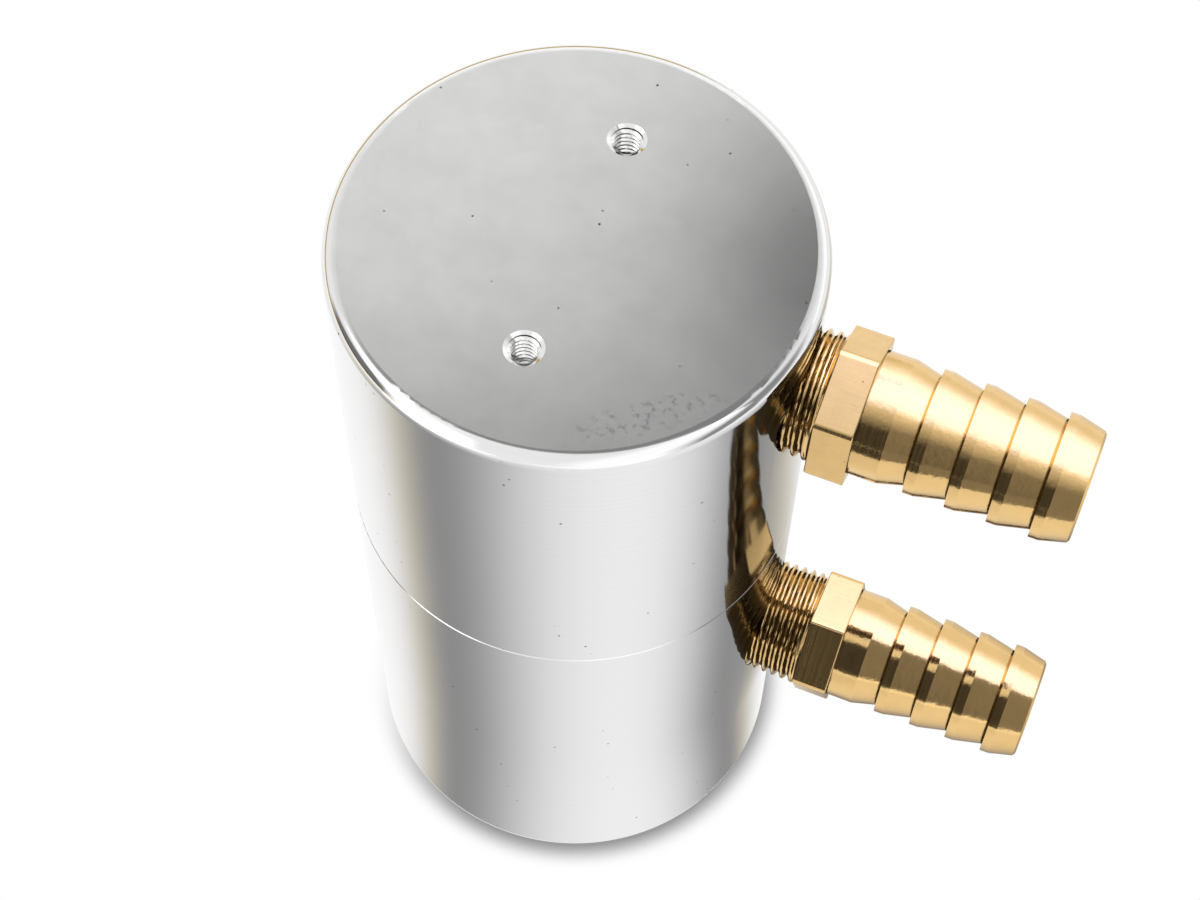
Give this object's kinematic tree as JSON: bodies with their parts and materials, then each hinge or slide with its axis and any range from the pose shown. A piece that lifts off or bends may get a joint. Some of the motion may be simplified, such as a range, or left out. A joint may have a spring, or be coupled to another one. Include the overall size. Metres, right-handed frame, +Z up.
{
  "type": "oil catch can",
  "caption": "Turned aluminium oil catch can whose head unscrews from its cup, with a brass hose barb in the side of each half and tapped bracket holes in its top.",
  "frame": {"origin": "centre of the base face that the can stands on", "axes": "+Z up along the can's axis, +X along both hose barbs, bracket holes on Y"},
  "size_m": [0.1041, 0.0634, 0.127],
  "materials": {
    "turned_aluminium": "fine turned, bare",
    "turned_brass": "turned from bar, bare",
    "seal_rubber": "moulded, oiled",
    "punched_steel": "punched sheet",
    "knitted_wire": "knitted stainless wire",
    "spring_steel": "blackened and oiled"
  },
  "bodies": {
    "cup": {"lower_body": "turned_aluminium", "lower_hose_barb": "turned_brass"},
    "seal": {"seal_ring": "seal_rubber"},
    "head": {"upper_body": "turned_aluminium", "upper_hose_barb": "turned_brass", "upper_screen": "punched_steel", "mesh_pack": "knitted_wire", "lower_screen": "punched_steel", "snap_ring": "spring_steel"}
  },
  "joints": [
    {"name": "head_rise", "type": "slide", "parent": "cup", "child": "seal", "axis": [0, 0, 1], "range_m": [0, 0.00713]},
    {"name": "head_turn", "type": "hinge", "parent": "seal", "child": "head", "pos_m": [0, 0, 0.0721], "axis": [0, 0, 1], "range_deg": [0, 1710]}
  ],
  "couplings": [
    {"joint": "head_rise", "follows": "head_turn", "m_per_rad": 0.00023873}
  ]
}
